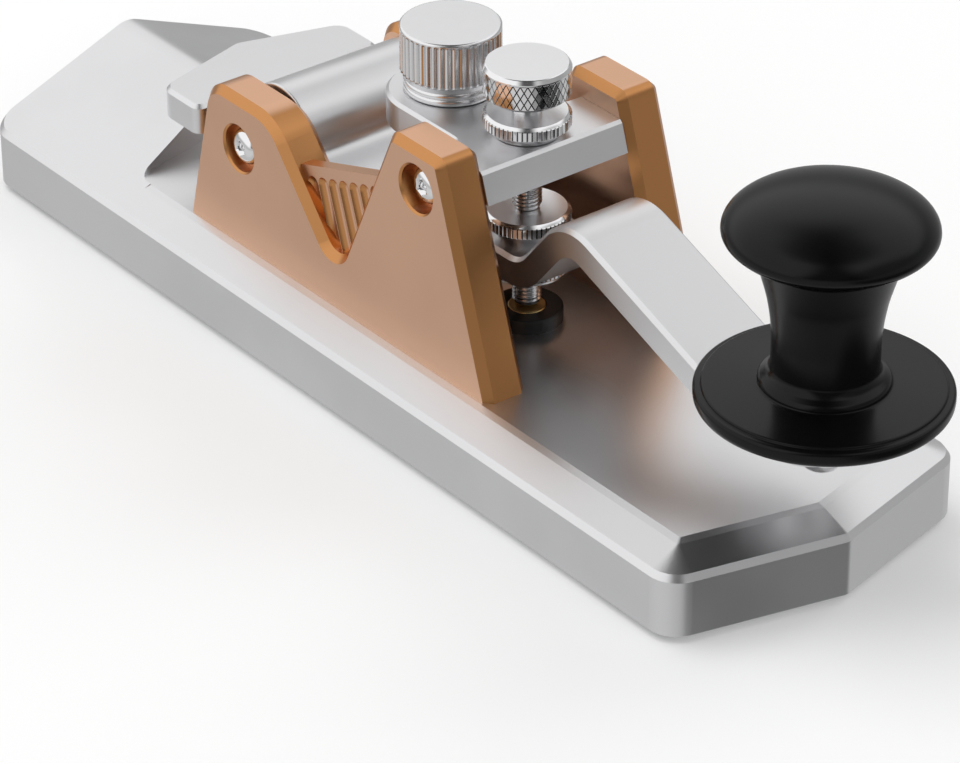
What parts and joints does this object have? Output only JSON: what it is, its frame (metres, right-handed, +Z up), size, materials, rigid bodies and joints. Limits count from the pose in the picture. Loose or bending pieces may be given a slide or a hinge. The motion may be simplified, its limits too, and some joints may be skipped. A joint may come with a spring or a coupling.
{
  "type": "straight morse key",
  "caption": "Straight morse key: a sprung lever with a black knob rocks between two copper-coloured side frames on a long bevelled aluminium base.",
  "frame": {"origin": "on the resting plane, below the middle of the whole key's outline", "axes": "+Z up, -Y towards the finger knob, +Y towards the socket in the rear face, X across the key along the pivot"},
  "size_m": [0.044, 0.153, 0.0505],
  "materials": {
    "satin_aluminium": "satin, clear anodised",
    "copper_anodised": "satin, copper-coloured anodising",
    "bright_plated": "bright plated",
    "steel": "plain",
    "bearing_steel": "ground",
    "magnet_nickel": "nickel plated",
    "knob_black": "satin moulded",
    "insulator_black": "moulded",
    "cover_black": "moulded",
    "foot_rubber": "matte",
    "contact_brass": "bare",
    "wire_red": "insulation",
    "wire_black": "insulation"
  },
  "bodies": {
    "base": {"base": "satin_aluminium", "base_cover": "cover_black", "cover_screws": "steel", "rubber_feet": "foot_rubber", "left_frame": "copper_anodised", "right_frame": "copper_anodised", "frame_screws": "steel", "bridge": "satin_aluminium", "bridge_screws": "bright_plated", "pivot_axle": "steel", "pivot_screws": "bright_plated", "pivot_spacers": "steel", "bearing_inner_rings": "bearing_steel", "bearing_balls": "bearing_steel", "contact_insulator": "insulator_black", "contact_stud": "contact_brass", "contact_washer": "insulator_black", "contact_nut": "steel", "contact_tag": "contact_brass", "ground_tag": "contact_brass", "ground_screw": "steel", "ground_wire": "wire_black", "signal_wire": "wire_red", "jack_body": "insulator_black", "jack_lugs": "contact_brass", "jack_nut": "bright_plated"},
    "lever": {"lever": "satin_aluminium", "bearing_outer_rings": "bearing_steel", "contact_bolt": "bright_plated", "contact_bolt_nut": "bright_plated", "lever_magnet": "magnet_nickel", "knob": "knob_black", "knob_screw": "bright_plated"},
    "gap_screw": {"gap_screw": "bright_plated"},
    "gap_knob": {"gap_knob": "bright_plated"},
    "gap_lock_nut": {"gap_lock_nut": "bright_plated"},
    "tension_screw": {"tension_screw": "bright_plated", "tension_magnet": "magnet_nickel"},
    "tension_knob": {"tension_knob": "bright_plated"}
  },
  "joints": [
    {"name": "lever_pivot", "type": "hinge", "parent": "base", "child": "lever", "pos_m": [0, 0.0268, 0.0239], "axis": [1, 0, 0], "range_deg": [0, 0.62], "stiffness_Nm_per_rad": 0.8, "springref_deg": -5.73},
    {"name": "gap_slide", "type": "slide", "parent": "base", "child": "gap_screw", "axis": [0, 0, 1], "range_m": [0, 0.001]},
    {"name": "gap_turn", "type": "hinge", "parent": "gap_screw", "child": "gap_knob", "pos_m": [0, -0.00915, 0.0418], "axis": [0, 0, 1], "range_deg": [0, 722]},
    {"name": "lock_turn", "type": "hinge", "parent": "base", "child": "gap_lock_nut", "pos_m": [0, -0.00915, 0.0373], "axis": [0, 0, 1], "range_deg": [0, 90]},
    {"name": "tension_slide", "type": "slide", "parent": "base", "child": "tension_screw", "axis": [0, 0, 1], "range_m": [0, 0.003]},
    {"name": "tension_turn", "type": "hinge", "parent": "tension_screw", "child": "tension_knob", "pos_m": [0, 0.00545, 0.0398], "axis": [0, 0, 1], "range_deg": [0, 2165]}
  ],
  "couplings": [
    {"joint": "gap_turn", "follows": "gap_slide", "rad_per_m": 12566},
    {"joint": "tension_turn", "follows": "tension_slide", "rad_per_m": 12566}
  ]
}
